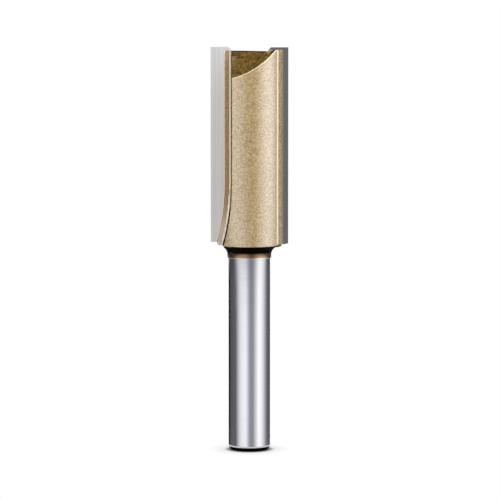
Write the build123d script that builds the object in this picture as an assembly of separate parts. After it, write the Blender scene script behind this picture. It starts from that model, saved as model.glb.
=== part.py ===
"""Two-flute straight router bit with brazed carbide tips.

The bit stands on the end of its shank: Z runs along its axis, with z = 0 on the
shank's end face, and X runs across the two rake faces. Sizes are in millimetres.
Everything on the -X side has a twin turned half a turn about the axis.
"""
import os
from math import asin, cos, radians, sin, sqrt, tan

from build123d import *

# The cutting edges
cut_dia = 12.0             # circle that the two long cutting edges sweep
cut_len = 29.5             # length of the long cutting edges
hook_angle = 13.0          # lean of the rake faces, from the line to the axis
side_relief = 15.0         # clearance behind the long cutting edges
end_relief = 12.8          # clearance behind the end cutting edges

# The carbide tips
tip_width = 3.2            # across the rake face
tip_thickness = 1.5
tip_corner = 0.6           # bevel on the tip's top inner corner

# The turned steel
shank_dia = 6.35
shank_len = 29.25          # ground length
shank_end_round = 0.8
collar_dia = 6.66          # unground collar above the shank
collar_len = 0.5           # straight part of the collar, below the hollow neck
neck_ledge = 0.12          # flat of the body's underside, outside the neck
body_dia = 10.1
body_foot_round = 0.35
tip_ledge = 0.5            # steel under each tip

# The milled steel
flute_run_out = 9.6        # height over which the flute runs out, above the body's foot
flute_wheel_radius = 36.8  # the cutter that leaves the run-out
flute_corner = 0.5         # hollow between the floor and the rake face
end_recess_dia = 7.2       # shallow turned recess in the end face
end_recess = 0.22
gash_tilt = 38.6           # slope of each end gash
gash_turn = 41.9           # turn of the end's ridge, from the rake faces
edge_round = 0.15          # broken edges of the milled steel

# The braze
braze_gap = 0.05           # layer between carbide and steel
braze_strip = 1.2          # strip of the rake face that grinding leaves covered
braze_skin = 0.05          # thickness of that strip
braze_heel = 0.24          # bead along the back of the tip

# Places that follow from these
half_width = cut_dia / 2 * cos(radians(hook_angle))
rake_y = cut_dia / 2 * sin(radians(hook_angle))
inner_x = half_width - tip_width
floor_x = inner_x - braze_gap
back_y = rake_y + tip_thickness
seat_y = back_y + braze_gap
heel_x = half_width - tip_thickness * tan(radians(hook_angle + side_relief))
body_r = body_dia / 2
lobe_x = sqrt(body_r ** 2 - back_y ** 2)
collar_r = collar_dia / 2
neck_round = body_r - body_foot_round - neck_ledge - collar_r
body_foot = shank_len + collar_len + neck_round
tip_foot = body_foot + tip_ledge
seat_foot = tip_foot - braze_gap
top = tip_foot + cut_len
land_z = top - tip_thickness * tan(radians(end_relief))
ridge_z = land_z - end_recess
wheel_z = body_foot + flute_run_out
far = 1.5 * cut_dia        # how far a cut reaches past the bit


def twin(shape):
    """The same shape half a turn round the axis."""
    return Rot(0, 0, 180) * shape


def rims(solid, radius, z):
    """Circular edges of one radius at one height."""
    circles = solid.edges().filter_by(GeomType.CIRCLE)
    near = [e for e in circles if abs(e.radius - radius) < 1e-3]
    return [e for e in near if abs(e.arc_center.Z - z) < 1e-3]


def slab(low, high):
    """Everything between two heights."""
    return Pos(0, 0, (low + high) / 2) * Box(2 * far, 2 * far, high - low)


def flute(floor, rake, corner=0.0):
    """Space that a cutter sweeps in front of the rake plane, on the -X side.

    The floor is straight and then runs out on the cutter's own radius, down past
    the neck's hollow. It meets the rake plane square, or in a hollow of the given
    radius.
    """
    foot = body_foot - neck_round
    lean = asin((wheel_z - foot) / flute_wheel_radius)
    centre = -floor - flute_wheel_radius
    half = (centre + flute_wheel_radius * cos(lean / 2),
            wheel_z - flute_wheel_radius * sin(lean / 2))
    end = (centre + flute_wheel_radius * cos(lean), foot)
    outline = Curve() + [
        Line((-floor, top + far), (-floor, wheel_z)),
        ThreePointArc((-floor, wheel_z), half, end),
        Line(end, (-far, foot)),
        Line((-far, foot), (-far, top + far)),
        Line((-far, top + far), (-floor, top + far)),
    ]
    swept = extrude(Plane.XZ.offset(-rake) * make_face(outline), rake + far)
    if corner:
        on_rake = [e for e in swept.edges() if abs(e.center().Y - rake) < 1e-6]
        swept = fillet([e for e in on_rake if e.center().X > -far / 2], corner)
    return swept


def gash():
    """Space above the sloped end face on the -X, -Y side, up to the rake plane."""
    climb = radians(90.0 - gash_turn)
    slope = radians(gash_tilt)
    up = (-sin(slope) * cos(climb), -sin(slope) * sin(climb), cos(slope))
    ridge = (sin(climb), -cos(climb), 0.0)
    face = Plane(origin=(0, 0, ridge_z), x_dir=ridge, z_dir=up)
    sloped = face * Pos(0, 0, far / 2) * Box(2 * far, 2 * far, far)
    in_front = Box(4 * far, 2 * far, 4 * far, align=(Align.CENTER, Align.MAX, Align.CENTER))
    return sloped & (Pos(0, rake_y, ridge_z) * in_front)


def tip_bevel():
    """Space beyond the bevel on the tip's top inner corner."""
    outline = Polyline(
        (-inner_x - tip_corner - far, top + far),
        (-inner_x + far, top - tip_corner - far),
        (-inner_x + far, top + far),
        close=True,
    )
    return extrude(Plane.XZ * make_face(outline), far, both=True)


def tip():
    """The -X carbide tip, with its reliefs and its bevelled inner corner."""
    section = Polyline(
        (-half_width, rake_y),
        (-inner_x, rake_y),
        (-inner_x, back_y),
        (-heel_x, back_y),
        close=True,
    )
    blank = extrude(Pos(0, 0, tip_foot) * make_face(section), cut_len)
    drop = top - land_z
    above_end = Polyline(
        (rake_y, top),
        (back_y + tip_thickness, top - 2 * drop),
        (back_y + tip_thickness, top + drop),
        (rake_y, top + drop),
        close=True,
    )
    relief = extrude(Plane.YZ * make_face(above_end), far, both=True)
    return blank - relief - tip_bevel()


def turned_blank():
    """Shank, collar and body before any milling."""
    shank_r = shank_dia / 2
    outline = Polyline(
        (0, 0),
        (shank_r, 0),
        (shank_r, shank_len),
        (collar_r, shank_len),
        (collar_r, body_foot),
        (body_r, body_foot),
        (body_r, land_z),
        (end_recess_dia / 2, land_z),
        (end_recess_dia / 2, ridge_z),
        (0, ridge_z),
        close=True,
    )
    blank = revolve(Plane.XZ * make_face(outline), Axis.Z)
    blank = fillet(rims(blank, collar_r, body_foot), neck_round)
    blank = fillet(rims(blank, body_r, body_foot), body_foot_round)
    return fillet(rims(blank, shank_r, 0), shank_end_round)


def pocket():
    """The L-shaped seat of the -X tip, open at its side and top."""
    wide = far - floor_x
    deep = seat_y - rake_y
    tall = top + far - seat_foot
    size = Box(wide, deep, tall, align=(Align.MAX, Align.MIN, Align.MIN))
    return Pos(-floor_x, rake_y, seat_foot) * size


def body_and_shank(blank):
    """The one steel piece: turned, gashed, fluted and pocketed."""
    body = blank - gash() - twin(gash())
    slopes = body.edges().filter_by(GeomType.ELLIPSE)
    body = fillet(slopes, edge_round)
    hollowed = flute(floor_x, rake_y - braze_skin, flute_corner)
    ground = flute(floor_x + braze_strip, rake_y)
    seated = flute(floor_x, rake_y) & slab(seat_foot, top + far)
    for cut in (hollowed, ground, seated, pocket()):
        body = body - cut - twin(cut)
    return body


def braze(blank):
    """The braze of the -X tip: its L-shaped layer, front strip and heel bead."""
    layer = (pocket() & blank) - gash() - twin(gash())
    strip = flute(floor_x, rake_y) & slab(seat_foot, ridge_z) & blank
    strip = strip - flute(floor_x, rake_y - braze_skin, flute_corner)
    strip = strip - flute(floor_x + braze_strip, rake_y)
    bead_y = back_y + braze_heel
    bead = Polyline(
        (-lobe_x - braze_heel, back_y),
        (-lobe_x + braze_heel, back_y),
        (-sqrt(body_r ** 2 - bead_y ** 2), bead_y),
        close=True,
    )
    heel = extrude(Pos(0, 0, seat_foot) * make_face(bead), land_z - seat_foot)
    return (layer + strip + (heel - blank)) - tip() - tip_bevel()


def main():
    """Build the pieces and write one file for each."""
    blank = turned_blank()
    left_tip = tip()
    left_braze = braze(blank)
    pieces = {
        "body_and_shank": body_and_shank(blank),
        "carbide_tip_1": left_tip,
        "carbide_tip_2": twin(left_tip),
        "braze_1": left_braze,
        "braze_2": twin(left_braze),
    }
    os.makedirs("parts", exist_ok=True)
    for name, shape in pieces.items():
        export_step(shape, f"parts/{name}.step")


if __name__ == "__main__":
    main()
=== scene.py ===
"""Looks of a two-flute straight router bit, dressed over its solid model.

The bit stands on the end of its shank: Z is its axis, with z = 0 on the floor, and X
runs across the two rake faces. Lengths are metres where Blender reads them, and every
named size that ends in _mm is in millimetres.
"""

from __future__ import annotations

import logging
import math
from dataclasses import dataclass
from enum import Enum

import bpy
import numpy as np
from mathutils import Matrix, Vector


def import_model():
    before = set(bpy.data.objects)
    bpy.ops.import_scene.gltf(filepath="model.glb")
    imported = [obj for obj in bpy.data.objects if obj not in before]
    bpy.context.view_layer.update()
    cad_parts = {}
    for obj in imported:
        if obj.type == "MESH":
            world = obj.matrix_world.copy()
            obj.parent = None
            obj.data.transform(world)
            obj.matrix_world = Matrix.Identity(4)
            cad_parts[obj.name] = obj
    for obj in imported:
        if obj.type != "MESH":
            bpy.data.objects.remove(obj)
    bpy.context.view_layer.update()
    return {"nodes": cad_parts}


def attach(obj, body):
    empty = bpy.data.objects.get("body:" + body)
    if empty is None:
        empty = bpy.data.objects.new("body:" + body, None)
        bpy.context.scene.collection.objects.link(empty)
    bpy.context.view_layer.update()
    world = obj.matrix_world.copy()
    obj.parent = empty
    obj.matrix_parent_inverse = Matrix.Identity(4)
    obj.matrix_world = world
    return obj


LOG = logging.getLogger("router_bit")
MM = 0.001
NOISE_SPAN = (0.3, 0.7)  # nearly all of a noise texture's values lie in here
CORNER_SAMPLES = 16  # rays that tell how open a place is
EDGE_SAMPLES = 6  # rays that soften an edge
WHITE = (1.0, 1.0, 1.0, 1.0)
Colour = tuple[float, float, float, float]


def linear(hex_colour: str) -> Colour:
    """Turn an sRGB hex colour into the linear colour that a shader reads.

    Args:
        hex_colour: six hex digits, with or without a leading hash.

    Returns:
        Linear red, green and blue, and an alpha of 1.
    """
    digits = hex_colour.lstrip("#")
    channels = [int(digits[i:i + 2], 16) / 255 for i in (0, 2, 4)]
    bent = [c / 12.92 if c <= 0.04045 else ((c + 0.055) / 1.055) ** 2.4 for c in channels]
    return (bent[0], bent[1], bent[2], 1.0)


def per_metre(size_mm: float) -> float:
    """Cells per metre that make one cell of a pattern size_mm across."""
    return 1.0 / (size_mm * MM)


def add_node(
    tree: bpy.types.NodeTree,
    kind: str,
    inputs: dict[str | int, object] | None = None,
    **settings: object,
) -> bpy.types.Node:
    """Add one shader node with its settings, values and links.

    Args:
        tree: the node tree that gets the node.
        kind: the node's type name.
        inputs: socket name or number to a value, or to the socket that feeds it.
        settings: attributes of the node itself.

    Returns:
        The new node.
    """
    node = tree.nodes.new(kind)
    for name, value in settings.items():
        setattr(node, name, value)
    for name, value in (inputs or {}).items():
        if isinstance(value, bpy.types.NodeSocket):
            tree.links.new(value, node.inputs[name])
        else:
            node.inputs[name].default_value = value
    return node


def new_material(name: str) -> tuple[bpy.types.Material, bpy.types.NodeTree]:
    """Start a material with an empty node tree.

    Args:
        name: the material's name.

    Returns:
        The material and its node tree.
    """
    material = bpy.data.materials.new(name)
    material.use_nodes = True
    material.node_tree.nodes.clear()
    return material, material.node_tree


def add_object(name: str, data: bpy.types.ID) -> bpy.types.Object:
    """Put a mesh or a camera into the scene, at the origin.

    Args:
        name: the object's name.
        data: the mesh or camera that it shows.

    Returns:
        The new object.
    """
    item = bpy.data.objects.new(name, data)
    bpy.context.scene.collection.objects.link(item)
    return item


def seen_directly(tree: bpy.types.NodeTree) -> bpy.types.NodeSocket:
    """Tell what is looked at from what lights something.

    Args:
        tree: the node tree of a material or of the world.

    Returns:
        A factor that is 1 for the camera and for what metal and glass show.
    """
    path = add_node(tree, "ShaderNodeLightPath")
    seen = add_node(
        tree,
        "ShaderNodeMath",
        {0: path.outputs["Is Camera Ray"], 1: path.outputs["Is Glossy Ray"]},
        operation="MAXIMUM",
    )
    shown = add_node(
        tree,
        "ShaderNodeMath",
        {0: seen.outputs[0], 1: path.outputs["Is Transmission Ray"]},
        operation="MAXIMUM",
    )
    return shown.outputs[0]


def sized_pattern(
    tree: bpy.types.NodeTree,
    sizes_mm: tuple[float, float, float],
    detail: float = 2.0,
    roughness: float = 0.5,
) -> bpy.types.NodeSocket:
    """A soft random pattern whose marks have a real size along each axis.

    Args:
        tree: the material's node tree.
        sizes_mm: size of a mark along the part's X, Y and Z.
        detail: number of finer layers.
        roughness: strength of each finer layer.

    Returns:
        A value at each point, nearly always within NOISE_SPAN.
    """
    coordinates = add_node(tree, "ShaderNodeTexCoord")
    mapping = add_node(
        tree,
        "ShaderNodeMapping",
        {
            "Vector": coordinates.outputs["Object"],
            "Scale": tuple(per_metre(size) for size in sizes_mm),
        },
    )
    texture = add_node(
        tree,
        "ShaderNodeTexNoise",
        {
            "Vector": mapping.outputs["Vector"],
            "Scale": 1.0,
            "Detail": detail,
            "Roughness": roughness,
        },
    )
    return texture.outputs["Fac"]


def openness(
    tree: bpy.types.NodeTree, reach_mm: float, power: float
) -> bpy.types.NodeSocket:
    """How open a place is within a reach, raised to a power.

    Args:
        tree: the material's node tree.
        reach_mm: how far off a neighbour still closes the place in.
        power: above 1 deepens the effect.

    Returns:
        A factor that is 1 on open faces and less in a tight corner.
    """
    sky = add_node(
        tree,
        "ShaderNodeAmbientOcclusion",
        {"Distance": reach_mm * MM},
        samples=CORNER_SAMPLES,
    )
    factor = add_node(
        tree, "ShaderNodeMath", {0: sky.outputs["AO"], 1: power}, operation="POWER"
    )
    return factor.outputs[0]


def relief_on_soft_edges(
    tree: bpy.types.NodeTree,
    height: bpy.types.NodeSocket,
    depth_mm: float,
    share: float,
    edge_mm: float,
) -> bpy.types.NodeSocket:
    """Raise a surface by a height, over edges that are softened.

    Args:
        tree: the material's node tree.
        height: the height at each point, as a share of the depth.
        depth_mm: the relief's depth.
        share: how much of the relief shows.
        edge_mm: radius that softens the part's edges.

    Returns:
        The normal at each point.
    """
    edges = add_node(
        tree, "ShaderNodeBevel", {"Radius": edge_mm * MM}, samples=EDGE_SAMPLES
    )
    bump = add_node(
        tree,
        "ShaderNodeBump",
        {
            "Height": height,
            "Strength": share,
            "Distance": depth_mm * MM,
            "Normal": edges.outputs["Normal"],
        },
    )
    return bump.outputs["Normal"]


class Axis(Enum):
    """Axes of the part's frame, named as the node that splits a vector names them."""

    ACROSS = "X"
    HEIGHT = "Z"


def fade_along(
    tree: bpy.types.NodeTree,
    axis: Axis,
    limits_mm: tuple[float, float],
    colours: tuple[bpy.types.NodeSocket | Colour, bpy.types.NodeSocket | Colour],
) -> bpy.types.NodeSocket:
    """Fade from one colour to another by a point's distance along an axis.

    Args:
        tree: the material's node tree.
        axis: the axis, on which both sides of the middle count alike.
        limits_mm: where the fade starts and where it ends.
        colours: the colour before the fade and the one beyond it.

    Returns:
        The colour at each point.
    """
    coordinates = add_node(tree, "ShaderNodeTexCoord")
    place = add_node(tree, "ShaderNodeSeparateXYZ", {"Vector": coordinates.outputs["Object"]})
    distance = add_node(
        tree, "ShaderNodeMath", {0: place.outputs[axis.value]}, operation="ABSOLUTE"
    )
    share = add_node(
        tree,
        "ShaderNodeMapRange",
        {
            "Value": distance.outputs[0],
            "From Min": limits_mm[0] * MM,
            "From Max": limits_mm[1] * MM,
        },
    )
    faded = add_node(
        tree,
        "ShaderNodeMix",
        {0: share.outputs["Result"], 6: colours[0], 7: colours[1]},
        data_type="RGBA",
    )
    return faded.outputs[2]


@dataclass(frozen=True)
class PearlCoat:
    """Bronze pearl lacquer, sprayed over milled steel and baked.

    A deep gold binder scatters its own colour, and pearl flakes in it mirror the lamps
    white, so the eye reads a champagne sheen on the lit sides and old gold between
    them. Painted shade darkens the colour in a tight corner.
    """

    name: str = "bronze_pearl_lacquer"
    deep: str = "#92640A"
    light: str = "#D8BB76"
    pearl_ior: float = 3.0
    roughness: float = 0.28
    drop_mm: float = 0.16
    relief_mm: float = 0.012
    relief_share: float = 1.0
    # reach and strength of the painted shade in tight corners
    corner_shade_mm: float = 1.5
    corner_shade_power: float = 1.25
    edge_mm: float = 0.2
    gloss_roughness: float = 0.2

    def drops(
        self, tree: bpy.types.NodeTree
    ) -> tuple[bpy.types.NodeSocket, bpy.types.NodeSocket]:
        """Colour and relief of the spray, drop by drop.

        The real drops are finer than the picture shows, so they are drawn as coarse
        as they need to be to read as a fine grain.

        Args:
            tree: the lacquer's node tree.

        Returns:
            A colour between the deep and the light one, and a height.
        """
        coordinates = add_node(tree, "ShaderNodeTexCoord")
        cells = add_node(
            tree,
            "ShaderNodeTexVoronoi",
            {"Vector": coordinates.outputs["Object"], "Scale": per_metre(self.drop_mm)},
        )
        draw = add_node(tree, "ShaderNodeSeparateColor", {"Color": cells.outputs["Color"]})
        colour = add_node(
            tree,
            "ShaderNodeMix",
            {0: draw.outputs["Red"], 6: linear(self.deep), 7: linear(self.light)},
            data_type="RGBA",
        )
        return colour.outputs[2], cells.outputs["Distance"]

    def shown(
        self, tree: bpy.types.NodeTree, colour: bpy.types.NodeSocket
    ) -> bpy.types.NodeSocket:
        """The spray's colour as it shows on this surface, here unchanged."""
        return colour

    def material(self) -> bpy.types.Material:
        """Build the lacquer's material.

        Returns:
            A glossy film of gold under white pearl reflections.
        """
        material, tree = new_material(self.name)
        spray, height = self.drops(tree)
        # painted shade: the colour is darkened where a place is closed in
        painted_corner_shade = openness(tree, self.corner_shade_mm, self.corner_shade_power)
        normal = relief_on_soft_edges(
            tree, height, self.relief_mm, self.relief_share, self.edge_mm
        )
        colour = add_node(
            tree,
            "ShaderNodeVectorMath",
            {0: self.shown(tree, spray), "Scale": painted_corner_shade},
            operation="SCALE",
        )
        shader = add_node(
            tree,
            "ShaderNodeBsdfPrincipled",
            {
                "Base Color": colour.outputs["Vector"],
                "Metallic": 0.0,
                "Roughness": self.roughness,
                "IOR": self.pearl_ior,
                "Normal": normal,
                "Coat Weight": 1.0,
                "Coat Roughness": self.gloss_roughness,
            },
        )
        add_node(tree, "ShaderNodeOutputMaterial", {"Surface": shader.outputs["BSDF"]})
        return material


@dataclass(frozen=True)
class ShadeCoat(PearlCoat):
    """The same lacquer, darkened with painted shade, in the end gashes and deep in a
    flute's corner.

    Those faces read as dark old gold.
    """

    name: str = "shaded_bronze_lacquer"
    deep: str = "#3B2708"
    light: str = "#977835"
    pearl_ior: float = 1.45
    drop_mm: float = 0.28
    edge_mm: float = 0.02
    # near-black painted shade along the ridge
    dark_shade: str = "#0E0A05"
    ridge_shade_mm: tuple[float, float] = (60.24, 60.34)

    def shown(
        self, tree: bpy.types.NodeTree, colour: bpy.types.NodeSocket
    ) -> bpy.types.NodeSocket:
        """The spray's colour, fading near the ridge to a near-black painted shade line."""
        return fade_along(tree, Axis.HEIGHT, self.ridge_shade_mm, (colour, linear(self.dark_shade)))


@dataclass(frozen=True)
class HighlightCoat(PearlCoat):
    """The same lacquer, paled to a cream painted highlight.

    It draws a painted highlight line along the rim of each end
    gash, the back of each tip and the start of each flute's corner.
    """

    name: str = "highlight_bronze_lacquer"
    # pale cream colours: painted highlight
    deep: str = "#E6C98E"
    light: str = "#F6E2B4"
    corner_shade_power: float = 0.4


@dataclass(frozen=True)
class SmoothCoat(PearlCoat):
    """The same lacquer on the flat strip that grinding leaves on a rake face.

    The pearl has sunk in it, so it mirrors little and reads as a warm brown. It is
    paler at the foot, where the strip runs out.
    """

    name: str = "smooth_bronze_lacquer"
    deep: str = "#AB885F"
    light: str = "#D4B388"
    pearl_ior: float = 1.45
    foot: str = "#F2E2CF"
    foot_mm: tuple[float, float] = (33.6, 37.4)

    def shown(
        self, tree: bpy.types.NodeTree, colour: bpy.types.NodeSocket
    ) -> bpy.types.NodeSocket:
        """The spray's colour, which pales towards the foot."""
        return fade_along(tree, Axis.HEIGHT, self.foot_mm, (linear(self.foot), colour))


@dataclass(frozen=True)
class Overspray(PearlCoat):
    """The same lacquer on the back of a tip, where it runs out over the carbide.

    It fades to the carbide's dark grey before the ground relief begins.
    """

    name: str = "bronze_overspray"
    carbide: str = "#3E3C36"
    fade_mm: tuple[float, float] = (4.7, 5.1)

    def shown(
        self, tree: bpy.types.NodeTree, colour: bpy.types.NodeSocket
    ) -> bpy.types.NodeSocket:
        """The spray's colour near the axis, and dark grey far out across."""
        return fade_along(tree, Axis.ACROSS, self.fade_mm, (colour, linear(self.carbide)))


@dataclass(frozen=True)
class BlackShade:
    """Near-black painted shade where shade falls.

    It swallows the light; painted on the hollow under the body, the foot of each
    flute's corner and the rounded end of the shank, it makes them read as near-black.
    """

    name: str = "painted_black_shade"
    dark: str = "#040201"
    pale: str = "#120B04"
    ior: float = 1.06
    roughness: float = 0.6
    grain_mm: float = 0.3

    def material(self) -> bpy.types.Material:
        """Build the painted shade's material.

        Returns:
            A matt brownish black with a soft mottle.
        """
        material, tree = new_material(self.name)
        mottle = sized_pattern(tree, (self.grain_mm,) * 3)
        colour = add_node(
            tree,
            "ShaderNodeMix",
            {0: mottle, 6: linear(self.dark), 7: linear(self.pale)},
            data_type="RGBA",
        )
        shader = add_node(
            tree,
            "ShaderNodeBsdfPrincipled",
            {
                "Base Color": colour.outputs[2],
                "Metallic": 0.0,
                "Roughness": self.roughness,
                "IOR": self.ior,
            },
        )
        add_node(tree, "ShaderNodeOutputMaterial", {"Surface": shader.outputs["BSDF"]})
        return material


@dataclass(frozen=True)
class TintedSteel:
    """Turned steel of the neck, tinted by a breath of lacquer that reaches it.

    It mirrors what is round it in dark gold: the lamps on the collar, and the dark
    ground in the hollow above, where painted shade darkens its colour further. Fine
    turning rings run round it.
    """

    name: str = "tinted_turned_steel"
    colour: str = "#A08868"
    # near-black painted shade towards the hollow
    hollow_shade: str = "#1C1206"
    lower_edge_pale: str = "#F4EEE2"
    hollow_shade_mm: tuple[float, float] = (29.55, 30.25)
    lower_edge_pale_mm: tuple[float, float] = (29.40, 29.34)
    roughness: float = 0.22
    ring_mm: float = 0.17
    wander_mm: float = 6.0
    shade: tuple[float, float] = (0.85, 1.1)
    relief_mm: float = 0.004
    relief_share: float = 0.3
    edge_mm: float = 0.1

    def tint(self, tree: bpy.types.NodeTree) -> bpy.types.NodeSocket:
        """Dark gold, darkened with painted shade towards the hollow and paler along the lower
        edge.

        Args:
            tree: the neck's node tree.

        Returns:
            The colour at each height.
        """
        hollow_shaded = fade_along(
            tree, Axis.HEIGHT, self.hollow_shade_mm, (linear(self.colour), linear(self.hollow_shade))
        )
        return fade_along(tree, Axis.HEIGHT, self.lower_edge_pale_mm, (hollow_shaded, linear(self.lower_edge_pale)))

    def material(self) -> bpy.types.Material:
        """Build the neck's material.

        Returns:
            Dark gold metal with rings that repeat along Z.
        """
        material, tree = new_material(self.name)
        rings = sized_pattern(tree, (self.wander_mm, self.wander_mm, self.ring_mm))
        shade = add_node(
            tree,
            "ShaderNodeMapRange",
            {
                "Value": rings,
                "From Min": NOISE_SPAN[0],
                "From Max": NOISE_SPAN[1],
                "To Min": self.shade[0],
                "To Max": self.shade[1],
            },
        )
        colour = add_node(
            tree,
            "ShaderNodeVectorMath",
            {0: self.tint(tree), "Scale": shade.outputs["Result"]},
            operation="SCALE",
        )
        normal = relief_on_soft_edges(
            tree, rings, self.relief_mm, self.relief_share, self.edge_mm
        )
        shader = add_node(
            tree,
            "ShaderNodeBsdfPrincipled",
            {
                "Base Color": colour.outputs["Vector"],
                "Metallic": 1.0,
                "Roughness": self.roughness,
                "Normal": normal,
            },
        )
        add_node(tree, "ShaderNodeOutputMaterial", {"Surface": shader.outputs["BSDF"]})
        return material


@dataclass(frozen=True)
class GroundSteel:
    """Tool steel, hardened and ground between centres.

    The wheel leaves fine rings round the shank, so lamps draw clean bands along it
    with a slightly soft edge.
    """

    name: str = "ground_tool_steel"
    colour: str = "#CECED2"
    ring_mm: float = 0.13
    wander_mm: float = 9.0
    ring_detail: float = 0.55
    roughness: float = 0.14
    gloss: tuple[float, float] = (0.8, 1.3)
    relief_mm: float = 0.0015
    relief_share: float = 0.35

    def material(self) -> bpy.types.Material:
        """Build the ground steel's material.

        Returns:
            Bright metal with rings that repeat along Z and wander slowly round it.
        """
        material, tree = new_material(self.name)
        rings = sized_pattern(
            tree, (self.wander_mm, self.wander_mm, self.ring_mm), roughness=self.ring_detail
        )
        gloss = add_node(
            tree,
            "ShaderNodeMapRange",
            {
                "Value": rings,
                "From Min": NOISE_SPAN[0],
                "From Max": NOISE_SPAN[1],
                "To Min": self.roughness * self.gloss[0],
                "To Max": self.roughness * self.gloss[1],
            },
        )
        bump = add_node(
            tree,
            "ShaderNodeBump",
            {
                "Height": rings,
                "Strength": self.relief_share,
                "Distance": self.relief_mm * MM,
            },
        )
        shader = add_node(
            tree,
            "ShaderNodeBsdfPrincipled",
            {
                "Base Color": linear(self.colour),
                "Metallic": 1.0,
                "Roughness": gloss.outputs["Result"],
                "Normal": bump.outputs["Normal"],
            },
        )
        add_node(tree, "ShaderNodeOutputMaterial", {"Surface": shader.outputs["BSDF"]})
        return material


@dataclass(frozen=True)
class GroundCarbide:
    """Sintered tungsten carbide, ground on a diamond wheel.

    It is a dense grey with a satin gloss, and the wheel's passes show as faint streaks
    along the cutting edge.
    """

    name: str = "ground_tungsten_carbide"
    dark: str = "#A9AAAE"
    pale: str = "#B9BABD"
    metal: float = 1.0
    streak_mm: float = 0.22
    streak_len_mm: float = 26.0
    streak_layers: float = 3.0
    streak_detail: float = 0.6
    roughness: float = 0.34
    relief_mm: float = 0.002
    relief_share: float = 0.4

    def material(self) -> bpy.types.Material:
        """Build the carbide's material.

        Returns:
            Satin grey metal with streaks that run along Z.
        """
        material, tree = new_material(self.name)
        streaks = sized_pattern(
            tree,
            (self.streak_mm, self.streak_mm, self.streak_len_mm),
            self.streak_layers,
            self.streak_detail,
        )
        ramp = add_node(tree, "ShaderNodeValToRGB", {"Fac": streaks})
        first, last = ramp.color_ramp.elements
        first.position, last.position = NOISE_SPAN
        first.color, last.color = linear(self.dark), linear(self.pale)
        bump = add_node(
            tree,
            "ShaderNodeBump",
            {
                "Height": streaks,
                "Strength": self.relief_share,
                "Distance": self.relief_mm * MM,
            },
        )
        shader = add_node(
            tree,
            "ShaderNodeBsdfPrincipled",
            {
                "Base Color": ramp.outputs["Color"],
                "Metallic": self.metal,
                "Roughness": self.roughness,
                "Normal": bump.outputs["Normal"],
            },
        )
        add_node(tree, "ShaderNodeOutputMaterial", {"Surface": shader.outputs["BSDF"]})
        return material


@dataclass(frozen=True)
class LappedCarbide(GroundCarbide):
    """The same carbide, lapped on the rake face for a keen edge.

    Lapping leaves a fine matt that scatters the light, so the face reads as a pale,
    even grey.
    """

    name: str = "lapped_tungsten_carbide"
    dark: str = "#DCDCDD"
    pale: str = "#EBEBEC"
    metal: float = 0.5
    roughness: float = 0.55


def triangle_facts(mesh: bpy.types.Mesh) -> tuple[np.ndarray, np.ndarray]:
    """Centres and normals of a mesh's faces.

    Args:
        mesh: the mesh to read.

    Returns:
        Two arrays of shape (faces, 3), in metres and as unit vectors.
    """
    count = len(mesh.polygons)
    centres = np.empty(count * 3, np.float32)
    normals = np.empty(count * 3, np.float32)
    mesh.polygons.foreach_get("center", centres)
    mesh.polygons.foreach_get("normal", normals)
    return centres.reshape(-1, 3), normals.reshape(-1, 3)


def dress(
    piece: bpy.types.Object,
    base: bpy.types.Material,
    zones: list[tuple[bpy.types.Material, np.ndarray]],
) -> None:
    """Give a piece its finishes.

    Args:
        piece: the object to dress.
        base: the finish wherever no zone is marked.
        zones: further finishes, each with one boolean for each face. A later zone
            covers an earlier one.
    """
    piece.data.materials.clear()
    piece.data.materials.append(base)
    slots = np.zeros(len(piece.data.polygons), np.int32)
    for slot, (finish, faces) in enumerate(zones, start=1):
        piece.data.materials.append(finish)
        slots[faces] = slot
    piece.data.polygons.foreach_set("material_index", slots)
    piece.data.update()


def between(values: np.ndarray, limits: tuple[float, float]) -> np.ndarray:
    """Where values lie between two limits."""
    return (values > limits[0]) & (values < limits[1])


@dataclass(frozen=True)
class Flute:
    """Where a flute's hollow corner and its covered rake strip lie.

    The corner turns from the rake face, where a normal points along Y, to the
    flute's floor, where it points across, away from the axis.
    """

    corner_across_mm: tuple[float, float] = (2.59, 4.6)
    corner_along_mm: tuple[float, float] = (0.75, 1.36)
    corner_faces_rake: float = 0.03
    shallow: tuple[float, float] = (0.05, 0.55)
    deep: tuple[float, float] = (0.55, 1.0)
    strip_along_mm: tuple[float, float] = (1.28, 1.32)
    strip_faces_rake: float = 0.98

    def corner(
        self, centres: np.ndarray, normals: np.ndarray, turned: tuple[float, float]
    ) -> np.ndarray:
        """A part of the hollow corner.

        Args:
            centres: face centres in metres.
            normals: face normals.
            turned: limits of a normal's share away from the axis, which is 0 on the
                rake face and 1 on the floor.

        Returns:
            One boolean for each face.
        """
        side = np.sign(centres[:, 0])
        across, along = np.abs(centres[:, 0]) / MM, np.abs(centres[:, 1]) / MM
        behind = centres[:, 1] * side < 0.0
        hollow = between(normals[:, 0] * side, turned)
        hollow &= normals[:, 1] * side > self.corner_faces_rake
        placed = between(across, self.corner_across_mm) & between(along, self.corner_along_mm)
        return hollow & placed & behind

    def strip(self, centres: np.ndarray, normals: np.ndarray) -> np.ndarray:
        """The strip of the rake face that grinding has left covered.

        Args:
            centres: face centres in metres.
            normals: face normals.

        Returns:
            One boolean for each face.
        """
        faces_rake = normals[:, 1] * np.sign(centres[:, 0]) > self.strip_faces_rake
        return faces_rake & between(np.abs(centres[:, 1]) / MM, self.strip_along_mm)


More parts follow.
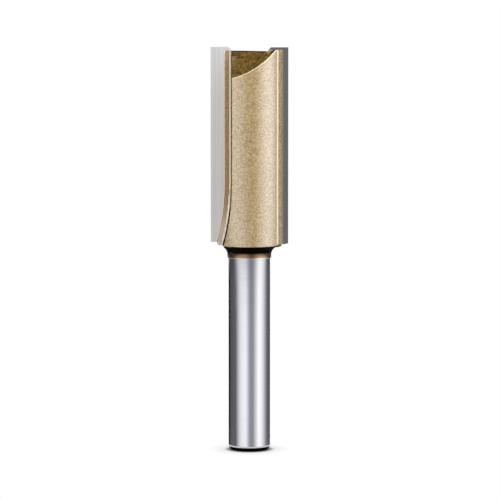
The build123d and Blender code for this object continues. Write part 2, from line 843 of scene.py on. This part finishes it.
@dataclass
class SteelBody:
    """The one steel piece: coated body, tinted neck and the bare ground shank.

    Leans are a normal's share upwards, from 0 on an upright face to 1 on a flat top.
    """

    node: bpy.types.Object
    coat: bpy.types.Material
    steel: bpy.types.Material
    shade_coat: bpy.types.Material
    neck: bpy.types.Material
    dark_shade: bpy.types.Material
    # finish with a painted highlight, for the gash rims
    rim: bpy.types.Material
    strip: bpy.types.Material
    flute: Flute = Flute()
    end_round_mm: float = 0.8
    ground_to_mm: float = 29.23
    hollow_from_mm: float = 30.11
    neck_to_mm: float = 31.01
    underside_to_mm: float = 31.4
    underside_lean: float = -0.3
    gashes_from_mm: float = 45.0
    gash_lean: tuple[float, float] = (0.7, 0.85)
    rim_lean: tuple[float, float] = (0.12, 0.7)
    flat_lean: float = 0.95
    end_walls_from_mm: float = 60.0
    wall_faces_rake: float = 0.99
    flute_floor_mm: float = 2.65

    def build(self) -> bpy.types.Object:
        """Leave the shank bright, tint the neck, and paint shade on the end gashes.

        The gashes are the only faces near the end that slope, and their rims lean
        less; the rims get a painted highlight. Near-black painted shade goes on the
        hollow, which reaches round to the body's underside, and on the rounding of the
        shank's end.

        Returns:
            The dressed piece.
        """
        centres, normals = triangle_facts(self.node.data)
        height, lean = centres[:, 2] / MM, normals[:, 2]
        bare = height < self.ground_to_mm
        neck = ~bare & (height < self.neck_to_mm)
        in_hollow = height > self.hollow_from_mm
        downward = lean < self.underside_lean
        # near-black painted shade: the hollow, the underside below it and the rounding of the
        # shank's end
        black = in_hollow & (neck | (downward & (height < self.underside_to_mm)))
        black |= downward & (height < self.end_round_mm)
        near_end = height > self.gashes_from_mm
        sloped = between(lean, self.gash_lean) & near_end
        upright = np.abs(normals[:, 1]) > self.wall_faces_rake
        wall = upright & (height > self.end_walls_from_mm)
        wall &= np.abs(centres[:, 0]) < self.flute_floor_mm * MM
        flat = (lean > self.flat_lean) & near_end
        rim = between(lean, self.rim_lean) & near_end
        deep = self.flute.corner(centres, normals, self.flute.deep)
        shallow = self.flute.corner(centres, normals, self.flute.shallow)
        # painted shade on gashes, end walls and flat top; near-black painted shade in hollow
        # and deep corners; painted highlight on rims and shallow corners
        zones = [
            (self.steel, bare),
            (self.shade_coat, sloped | wall | flat),
            (self.neck, neck),
            (self.dark_shade, black | deep),
            (self.rim, rim | shallow),
            (self.strip, self.flute.strip(centres, normals)),
        ]
        dress(self.node, self.coat, zones)
        return self.node


@dataclass
class CarbideTip:
    """One brazed cutting tip: ground reliefs, a lapped rake face and a coated back."""

    node: bpy.types.Object
    ground: bpy.types.Material
    lapped: bpy.types.Material
    coat: bpy.types.Material
    back_reach_mm: float = 2.8
    square_on: float = 0.99

    def build(self) -> bpy.types.Object:
        """Lap the rake face, which faces the axis plane, and coat the flat back.

        Returns:
            The dressed piece.
        """
        centres, normals = triangle_facts(self.node.data)
        side = np.sign(centres[:, 1].mean())
        outward = normals[:, 1] * side
        rake = outward < -self.square_on
        back = outward > self.square_on
        back &= centres[:, 1] * side > self.back_reach_mm * MM
        dress(self.node, self.ground, [(self.lapped, rake), (self.coat, back)])
        return self.node


@dataclass
class BrazeFillet:
    """The braze that holds one tip, coated together with the body."""

    node: bpy.types.Object
    coat: bpy.types.Material
    dark_shade: bpy.types.Material
    highlight_coat: bpy.types.Material
    shade_coat: bpy.types.Material
    strip: bpy.types.Material
    flute: Flute = Flute()
    low_shade_to_mm: float = 36.5
    bead_across: tuple[float, float] = (0.4, 0.6)
    bead_faces_back: float = 0.8

    def build(self) -> bpy.types.Object:
        """Cover the fillet with lacquer, with a painted highlight on its bead and painted
        shade in its corner.

        The corner's lower end gets near-black painted shade.

        Returns:
            The dressed piece.
        """
        centres, normals = triangle_facts(self.node.data)
        side = np.sign(centres[:, 0])
        bead = between(normals[:, 0] * side, self.bead_across)
        bead &= normals[:, 1] * side < -self.bead_faces_back
        deep = self.flute.corner(centres, normals, self.flute.deep)
        shallow = self.flute.corner(centres, normals, self.flute.shallow)
        low = centres[:, 2] < self.low_shade_to_mm * MM
        # near-black painted shade low in the corner, painted highlight on the bead and the
        # corner's start, painted shade higher in the corner
        zones = [
            (self.dark_shade, deep & low),
            (self.highlight_coat, bead | shallow),
            (self.shade_coat, deep & ~low),
            (self.strip, self.flute.strip(centres, normals)),
        ]
        dress(self.node, self.coat, zones)
        return self.node


@dataclass
class BrazeLip:
    """The fine ridge of braze where the ground rake face meets the coated strip."""

    number: int
    # pale finish that draws a painted highlight line along the ridge
    finish: bpy.types.Material
    radius_mm: float = 0.12
    edge_x_mm: float = 3.75
    rake_y_mm: float = 1.35
    foot_mm: float = 31.6
    top_mm: float = 60.45
    wheel_z_mm: float = 40.6
    wheel_radius_mm: float = 36.8
    rings: int = 60
    sides: int = 12

    def points(self) -> np.ndarray:
        """Work out the points of the ridge.

        A tube of radius r about a line that stands straight at x = -e above the
        wheel's height w and runs out on the wheel's radius R below it, where
        x = -e - R (1 - cos t) and sin t = (w - z) / R. The second ridge is the first
        turned by half a turn.

        Returns:
            Points in metres, in an array of rings by sides by 3.
        """
        turn = np.linspace(0.0, 2.0 * math.pi, self.sides, endpoint=False)
        height, around = np.meshgrid(
            np.linspace(self.foot_mm, self.top_mm, self.rings), turn, indexing="ij"
        )
        lean = np.arcsin(np.clip((self.wheel_z_mm - height) / self.wheel_radius_mm, 0.0, 1.0))
        run_out = self.wheel_radius_mm * (1.0 - np.cos(lean))
        x = -self.edge_x_mm - run_out + self.radius_mm * np.cos(around)
        y = self.rake_y_mm + self.radius_mm * np.sin(around)
        side = 1.0 if self.number == 1 else -1.0
        return np.stack([x * side, y * side, height], -1) * MM

    def build(self) -> bpy.types.Object:
        """Skin the ridge, close its ends and mount it on the body.

        Returns:
            The ridge.
        """
        points = self.points()
        index = np.arange(self.rings * self.sides).reshape(self.rings, self.sides)
        onward = np.roll(index, -1, axis=1)
        corners = (index[:-1], onward[:-1], onward[1:], index[1:])
        faces = np.stack([corner.ravel() for corner in corners], 1).tolist()
        ends = [index[0, ::-1].tolist(), index[-1].tolist()]
        mesh = bpy.data.meshes.new(f"braze_lip_{self.number}")
        mesh.from_pydata(points.reshape(-1, 3).tolist(), [], faces + ends)
        mesh.polygons.foreach_set("use_smooth", np.ones(len(mesh.polygons), bool))
        mesh.materials.append(self.finish)
        piece = add_object(mesh.name, mesh)
        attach(piece, "root")
        return piece


class Tone(Enum):
    """Cast of a card's cloth."""

    NEUTRAL = "#FFFFFF"
    COOL = "#EEEFFB"


@dataclass(frozen=True)
class Card:
    """One upright card of the light tent, between two bearings, with its brightness."""

    start_deg: float
    end_deg: float
    start_level: float
    end_level: float
    tone: Tone = Tone.NEUTRAL


def smooth_step(value: np.ndarray, low: float, high: float) -> np.ndarray:
    """Smooth step from 0 at low to 1 at high: 3 s^2 - 2 s^3 of the share s between."""
    share = np.clip((value - low) / (high - low), 0.0, 1.0)
    return share * share * (3.0 - 2.0 * share)


@dataclass
class LightTent:
    """A dome of lit and dark cards round the bit, unseen by the camera.

    Bearings are degrees from the front, which is -Y, towards +X. The low row of cards
    shows as bands along the ground shank and the high row lights the coated body. The
    front half of the roof lights the edges that face up. The low row is carried on
    over the ground, the same in front and behind, so that a view from above shows it.
    """

    radius_mm: float = 200.0
    centre_mm: float = 30.0
    columns: int = 361
    rows: int = 181
    roof_front: float = 1.7
    roof_back: float = 0.03
    roof_turn_deg: tuple[float, float] = (70.0, 115.0)
    ground: float = 0.6
    roof_from_deg: float = 22.0
    roof_to_deg: float = 40.0
    ground_from_deg: float = -17.0
    ground_to_deg: float = -24.0
    low_to_deg: float = -5.8
    high_from_deg: float = -5.0
    foot_level: float = 0.7
    full_from_deg: float = 2.0
    low_cards: tuple[Card, ...] = (
        Card(-180.0, -160.0, 1.10, 1.10),
        Card(-160.0, -138.0, 0.00, 0.00),
        Card(-138.0, -122.0, 0.02, 0.13),
        Card(-122.0, -78.0, 0.15, 0.20, Tone.COOL),
        Card(-78.0, -50.0, 0.20, 1.22),
        Card(-50.0, -26.0, 1.22, 1.46),
        Card(-26.0, -15.0, 1.46, 1.40),
        Card(-15.0, 3.0, 1.40, 0.50, Tone.COOL),
        Card(3.0, 22.0, 0.49, 0.49, Tone.COOL),
        Card(22.0, 51.0, 0.50, 1.64),
        Card(51.0, 64.0, 1.64, 1.55),
        Card(64.0, 92.0, 1.55, 0.75),
        Card(92.0, 110.0, 0.75, 0.28, Tone.COOL),
        Card(110.0, 150.0, 0.24, 0.10, Tone.COOL),
        Card(150.0, 160.0, 0.05, 0.00),
        Card(160.0, 180.0, 1.10, 1.10),
    )
    high_cards: tuple[Card, ...] = (
        Card(-180.0, -150.0, 1.10, 1.10),
        Card(-150.0, -125.0, 1.10, 0.05),
        Card(-125.0, -96.0, 0.05, 0.08),
        Card(-96.0, -66.0, 0.08, 1.35),
        Card(-66.0, -50.0, 1.35, 1.15),
        Card(-50.0, -10.0, 1.13, 0.33),
        Card(-10.0, 14.0, 0.33, 0.24),
        Card(14.0, 30.0, 0.24, 0.50),
        Card(30.0, 62.0, 0.52, 1.82),
        Card(62.0, 88.0, 1.90, 1.80),
        Card(88.0, 112.0, 1.65, 0.20),
        Card(112.0, 140.0, 0.20, 0.10),
        Card(140.0, 160.0, 0.10, 1.10),
        Card(160.0, 180.0, 1.10, 1.10),
    )

    def row(self, cards: tuple[Card, ...], bearing_deg: np.ndarray) -> np.ndarray:
        """Colour of a row of cards at each bearing, linear between a card's ends.

        Args:
            cards: the row, which goes all the way round.
            bearing_deg: array of bearings.

        Returns:
            Array of the same shape with red, green and blue in a last axis.
        """
        colour = np.zeros((*bearing_deg.shape, 3))
        for card in cards:
            share = (bearing_deg - card.start_deg) / (card.end_deg - card.start_deg)
            inside = (share >= 0.0) & (share <= 1.0)
            level = card.start_level + share[inside] * (card.end_level - card.start_level)
            colour[inside] = level[:, None] * np.array(linear(card.tone.value)[:3])
        return colour

    def colours(self, bearing_deg: np.ndarray, height_deg: np.ndarray) -> np.ndarray:
        """Colour of the dome: upright cards that pass into the roof and the ground.

        The roof runs from its front level to its back level between the two bearings
        at which it turns, either way. Over the ground the bearing is folded, so that
        the part behind repeats the part in front.

        Args:
            bearing_deg: array of bearings.
            height_deg: array of the same shape, degrees above the horizon.

        Returns:
            Array with red, green and blue in a last axis.
        """
        behind = smooth_step(np.abs(bearing_deg), *self.roof_turn_deg)
        roof = self.roof_front + behind * (self.roof_back - self.roof_front)
        up = smooth_step(height_deg, self.roof_from_deg, self.roof_to_deg)[..., None]
        down = smooth_step(-height_deg, -self.ground_from_deg, -self.ground_to_deg)[..., None]
        rise = smooth_step(height_deg, self.low_to_deg, self.high_from_deg)[..., None]
        low = self.row(self.low_cards, bearing_deg)
        fall = smooth_step(height_deg, self.high_from_deg, self.full_from_deg)[..., None]
        level = self.foot_level + fall * (1.0 - self.foot_level)
        high = self.row(self.high_cards, bearing_deg) * level
        upright = (low + rise * (high - low)) * (1.0 - up - down)
        folded = (bearing_deg + 90.0) % 180.0 - 90.0
        ground = self.ground * self.row(self.low_cards, folded)
        return upright + up * roof[..., None] + down * ground

    def glow(self) -> bpy.types.Material:
        """Build the dome's material.

        Returns:
            A material that shines with the dome's own vertex colour.
        """
        material, tree = new_material("tent_glow")
        colour = add_node(tree, "ShaderNodeAttribute", attribute_name="glow")
        shine = add_node(
            tree,
            "ShaderNodeEmission",
            {"Color": colour.outputs["Color"], "Strength": 1.0},
        )
        add_node(tree, "ShaderNodeOutputMaterial", {"Surface": shine.outputs["Emission"]})
        return material

    def build(self) -> bpy.types.Object:
        """Raise the dome, unseen by the camera and casting no shadow.

        A sphere: x = r cos h sin b, y = -r cos h cos b and z = c + r sin h at
        bearing b and height h.

        Returns:
            The dome.
        """
        bearing, height = np.meshgrid(
            np.linspace(-180.0, 180.0, self.columns), np.linspace(-90.0, 90.0, self.rows)
        )
        turn, lift = np.radians(bearing), np.radians(height)
        points = np.stack(
            [np.cos(lift) * np.sin(turn), -np.cos(lift) * np.cos(turn), np.sin(lift)], -1
        )
        points = points * self.radius_mm * MM + np.array([0.0, 0.0, self.centre_mm * MM])
        index = np.arange(bearing.size).reshape(bearing.shape)
        corners = (index[:-1, :-1], index[1:, :-1], index[1:, 1:], index[:-1, 1:])
        faces = np.stack([corner.ravel() for corner in corners], 1)
        mesh = bpy.data.meshes.new("light_tent")
        mesh.from_pydata(points.reshape(-1, 3).tolist(), [], faces.tolist())
        colours = self.colours(bearing, height).astype(np.float32)
        attribute = mesh.attributes.new("glow", "FLOAT_VECTOR", "POINT")
        attribute.data.foreach_set("vector", colours.ravel())
        mesh.materials.append(self.glow())
        tent = add_object("light_tent", mesh)
        tent.visible_camera = False
        tent.visible_shadow = False
        return tent


@dataclass
class Floor:
    """The pale floor that the bit stands on, with its soft contact shadow."""

    radius_mm: float = 6.0
    sides: int = 96
    paper: str = "#F2F2F2"
    crevice_mm: float = 0.9
    crevice_power: float = 1.6
    shadow_mm: float = 3.5
    shadow_power: float = 0.5

    def material(self) -> bpy.types.Material:
        """Build the floor's material.

        Returns:
            White for the camera and in metal, darker where the bit closes it in, and
            matt white paper for the light.
        """
        material, tree = new_material("pale_floor")
        level = add_node(
            tree,
            "ShaderNodeMath",
            {
                0: openness(tree, self.crevice_mm, self.crevice_power),
                1: openness(tree, self.shadow_mm, self.shadow_power),
            },
            operation="MULTIPLY",
        )
        white = add_node(
            tree, "ShaderNodeEmission", {"Color": WHITE, "Strength": level.outputs[0]}
        )
        paper = add_node(tree, "ShaderNodeBsdfDiffuse", {"Color": linear(self.paper)})
        mix = add_node(
            tree,
            "ShaderNodeMixShader",
            {0: seen_directly(tree), 1: paper.outputs["BSDF"], 2: white.outputs["Emission"]},
        )
        add_node(tree, "ShaderNodeOutputMaterial", {"Surface": mix.outputs["Shader"]})
        return material

    def build(self) -> bpy.types.Object:
        """Lay a round disc.

        Its rim is x = r cos a, y = r sin a at z = 0.

        Returns:
            The floor.
        """
        turn = np.linspace(0.0, 2.0 * math.pi, self.sides, endpoint=False)
        rim = np.stack([np.cos(turn), np.sin(turn), np.zeros_like(turn)], 1)
        rim = rim * self.radius_mm * MM
        mesh = bpy.data.meshes.new("floor")
        mesh.from_pydata(rim.tolist(), [], [list(range(len(rim)))])
        mesh.materials.append(self.material())
        piece = add_object("floor", mesh)
        return piece


@dataclass
class Studio:
    """Camera, white surroundings and light for the bit."""

    lens_mm: float = 216.65
    sensor_mm: float = 36.0
    distance_mm: float = 455.0
    elevation_deg: float = 5.2
    aim_x_mm: float = 0.1
    aim_z_mm: float = 30.38
    clip_m: tuple[float, float] = (0.01, 10.0)
    fill_level: float = 0.5

    def white_world(self) -> None:
        """White where the camera or metal looks, and a plain soft grey as light."""
        world = bpy.data.worlds.new("white_surroundings")
        bpy.context.scene.world = world
        world.use_nodes = True
        tree = world.node_tree
        tree.nodes.clear()
        level = add_node(
            tree,
            "ShaderNodeMapRange",
            {"Value": seen_directly(tree), "To Min": self.fill_level, "To Max": 1.0},
        )
        back = add_node(
            tree,
            "ShaderNodeBackground",
            {"Color": WHITE, "Strength": level.outputs["Result"]},
        )
        add_node(tree, "ShaderNodeOutputWorld", {"Surface": back.outputs["Background"]})

    def camera(self) -> bpy.types.Object:
        """Aim a long lens at the middle of the bit, from the photograph's height.

        Returns:
            The camera.
        """
        data = bpy.data.cameras.new("camera")
        data.lens = self.lens_mm
        data.sensor_width = self.sensor_mm
        data.clip_start, data.clip_end = self.clip_m
        eye = add_object("camera", data)
        tilt = math.radians(self.elevation_deg)
        aim = Vector((self.aim_x_mm, 0.0, self.aim_z_mm)) * MM
        back = Vector((0.0, -math.cos(tilt), math.sin(tilt)))
        eye.location = aim + back * self.distance_mm * MM
        eye.rotation_euler = (-back).to_track_quat("-Z", "Y").to_euler()
        bpy.context.scene.camera = eye
        return eye

    def build(self) -> None:
        """Set the view, the world, the tent and the floor."""
        bpy.context.scene.view_settings.view_transform = "Standard"
        self.white_world()
        self.camera()
        LightTent().build()
        Floor().build()


def main() -> None:
    """Load the solid model, dress each piece and light it."""
    logging.basicConfig(level=logging.INFO, format="%(name)s: %(message)s")
    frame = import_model()
    nodes = frame["nodes"]
    lacquer = PearlCoat().material()
    dark_shade = BlackShade().material()
    highlight_lacquer = HighlightCoat().material()
    shaded_lacquer = ShadeCoat().material()
    smooth_coat = SmoothCoat().material()
    body = SteelBody(
        node=nodes["body_and_shank"],
        coat=lacquer,
        steel=GroundSteel().material(),
        shade_coat=shaded_lacquer,
        neck=TintedSteel().material(),
        dark_shade=dark_shade,
        rim=highlight_lacquer,
        strip=smooth_coat,
    ).build()
    LOG.info("dressed %s: coated body, tinted neck, bare shank", body.name)
    ground = GroundCarbide().material()
    lapped = LappedCarbide().material()
    overspray = Overspray().material()
    for number in (1, 2):
        tip = CarbideTip(nodes[f"carbide_tip_{number}"], ground, lapped, overspray).build()
        braze = BrazeFillet(
            nodes[f"braze_{number}"], lacquer, dark_shade, highlight_lacquer, shaded_lacquer, smooth_coat
        ).build()
        lip = BrazeLip(number, highlight_lacquer).build()
        LOG.info("dressed %s and %s, and ran %s", tip.name, braze.name, lip.name)
    Studio().build()
    LOG.info("set the camera, the light tent and the floor")


if __name__ == "__main__":
    main()
